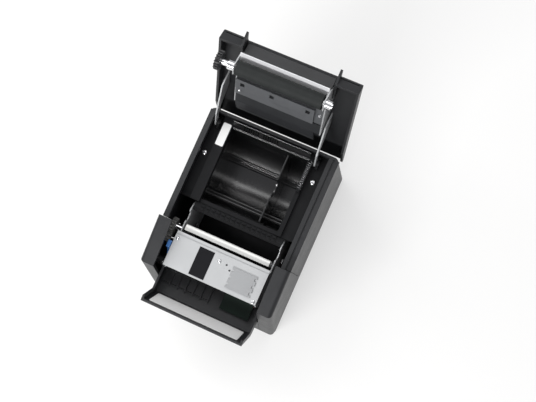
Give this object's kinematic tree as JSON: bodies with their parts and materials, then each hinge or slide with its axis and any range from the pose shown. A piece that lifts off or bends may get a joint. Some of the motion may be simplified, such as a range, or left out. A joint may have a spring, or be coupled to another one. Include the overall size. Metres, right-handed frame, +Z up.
{
  "type": "receipt printer",
  "caption": "Clamshell thermal receipt printer with its lid and front cover open, showing the paper bucket, platen, print head and lift-out cutter unit.",
  "frame": {"origin": "on the table, under the middle of the body", "axes": "+Z up, -Y towards the user at the front, +X to the printer's right"},
  "size_m": [0.1474, 0.2795, 0.2053],
  "materials": {
    "case_plastic": "fine moulded texture",
    "foot_rubber": "soft matt",
    "deck_plastic": "fine moulded texture",
    "guide_grey": "fine moulded texture",
    "bucket_plastic": "polished",
    "sheet_steel": "zinc plated",
    "turned_steel": "ground",
    "blade_steel": "ground edge",
    "head_white": "smooth",
    "sink_aluminium": "extruded",
    "motor_can": "drawn can",
    "gear_black": "moulded",
    "gear_pale": "moulded",
    "lever_blue": "moulded",
    "platen_rubber": "ground",
    "board_green": "lacquered",
    "socket_black": "moulded",
    "film_black": "thin film",
    "lens_clear": "clear moulding",
    "spring_black": "blackened wire",
    "lead_insulation": "insulated wire"
  },
  "bodies": {
    "case": {"base_tray": "case_plastic", "rubber_feet": "foot_rubber", "main_case": "case_plastic", "left_cheek": "case_plastic", "right_cheek": "case_plastic", "front_panel": "case_plastic", "top_deck": "deck_plastic", "deck_screws": "turned_steel", "paper_bucket": "bucket_plastic", "paper_divider": "bucket_plastic", "rear_louvre": "deck_plastic", "main_board": "board_green", "power_inlet": "socket_black", "data_socket": "socket_black", "drawer_socket": "socket_black", "switch_housing": "case_plastic", "frame_left_plate": "sheet_steel", "frame_right_plate": "sheet_steel", "frame_bed": "sheet_steel", "front_rail": "sheet_steel", "paper_guide": "deck_plastic", "print_head": "head_white", "head_heat_sink": "sink_aluminium", "head_pivot_rod": "turned_steel", "feed_motor": "motor_can", "knife_motor": "motor_can", "motor_leads": "lead_insulation", "idler_axle": "turned_steel", "lever_pin": "turned_steel", "lid_spring": "spring_black"},
    "feed_drive": {"feed_shaft": "turned_steel", "feed_pinion": "gear_pale"},
    "idler": {"idler_gear": "gear_pale"},
    "lever": {"release_lever": "lever_blue"},
    "rocker": {"power_rocker": "socket_black"},
    "lid": {"lid_shell": "case_plastic", "platen_bracket": "sheet_steel", "counter_blade": "blade_steel", "platen_bearing_left": "turned_steel", "platen_bearing_right": "turned_steel", "paper_guide_bar": "guide_grey", "lid_liner": "guide_grey", "lid_arm_left": "sheet_steel", "lid_arm_right": "sheet_steel", "lid_hinge_pin_left": "turned_steel", "lid_hinge_pin_right": "turned_steel"},
    "platen": {"platen_roller": "platen_rubber", "platen_shaft": "turned_steel", "platen_gear": "gear_black"},
    "cover": {"front_cover": "case_plastic", "cover_pin_left": "turned_steel", "cover_pin_right": "turned_steel", "status_lens": "lens_clear", "panel_board": "board_green"},
    "button": {"feed_button": "socket_black"},
    "cutter": {"cutter_base": "sheet_steel", "cutter_cover": "sheet_steel", "cutter_cap": "sheet_steel", "cutter_film": "film_black"},
    "knife": {"moving_knife": "blade_steel"}
  },
  "joints": [
    {"name": "lid_hinge", "type": "hinge", "parent": "case", "child": "lid", "pos_m": [0, 0.087, 0.101], "axis": [-1, 0, 0], "range_deg": [-117, 0]},
    {"name": "cover_hinge", "type": "hinge", "parent": "case", "child": "cover", "pos_m": [0, -0.07, 0.084], "axis": [1, 0, 0], "range_deg": [-96, 0]},
    {"name": "cutter_lift", "type": "slide", "parent": "case", "child": "cutter", "axis": [0, 0, 1], "range_m": [0, 0.06]},
    {"name": "knife_slide", "type": "slide", "parent": "cutter", "child": "knife", "axis": [0, 1, 0], "range_m": [0, 0.012]},
    {"name": "feed_turn", "type": "hinge", "parent": "case", "child": "feed_drive", "pos_m": [0, -0.044, 0.086], "axis": [1, 0, 0], "continuous": true},
    {"name": "idler_turn", "type": "hinge", "parent": "case", "child": "idler", "pos_m": [0, -0.03106, 0.08722], "axis": [1, 0, 0], "continuous": true},
    {"name": "platen_turn", "type": "hinge", "parent": "lid", "child": "platen", "pos_m": [0, 0.12953, 0.19549], "axis": [1, 0, 0], "continuous": true},
    {"name": "release_pull", "type": "hinge", "parent": "case", "child": "lever", "pos_m": [0, -0.057, 0.09], "axis": [1, 0, 0], "range_deg": [0, 15], "stiffness_Nm_per_rad": 0.05},
    {"name": "power_rock", "type": "hinge", "parent": "case", "child": "rocker", "pos_m": [0, 0.095, 0.052], "axis": [1, 0, 0], "range_deg": [0, 12]},
    {"name": "feed_press", "type": "slide", "parent": "cover", "child": "button", "axis": [0, -0.1045, 0.9945], "range_m": [0, 0.001], "stiffness_N_per_m": 400}
  ],
  "couplings": [
    {"joint": "idler_turn", "follows": "platen_turn", "ratio": -1.125},
    {"joint": "feed_turn", "follows": "platen_turn", "ratio": 1.8}
  ]
}
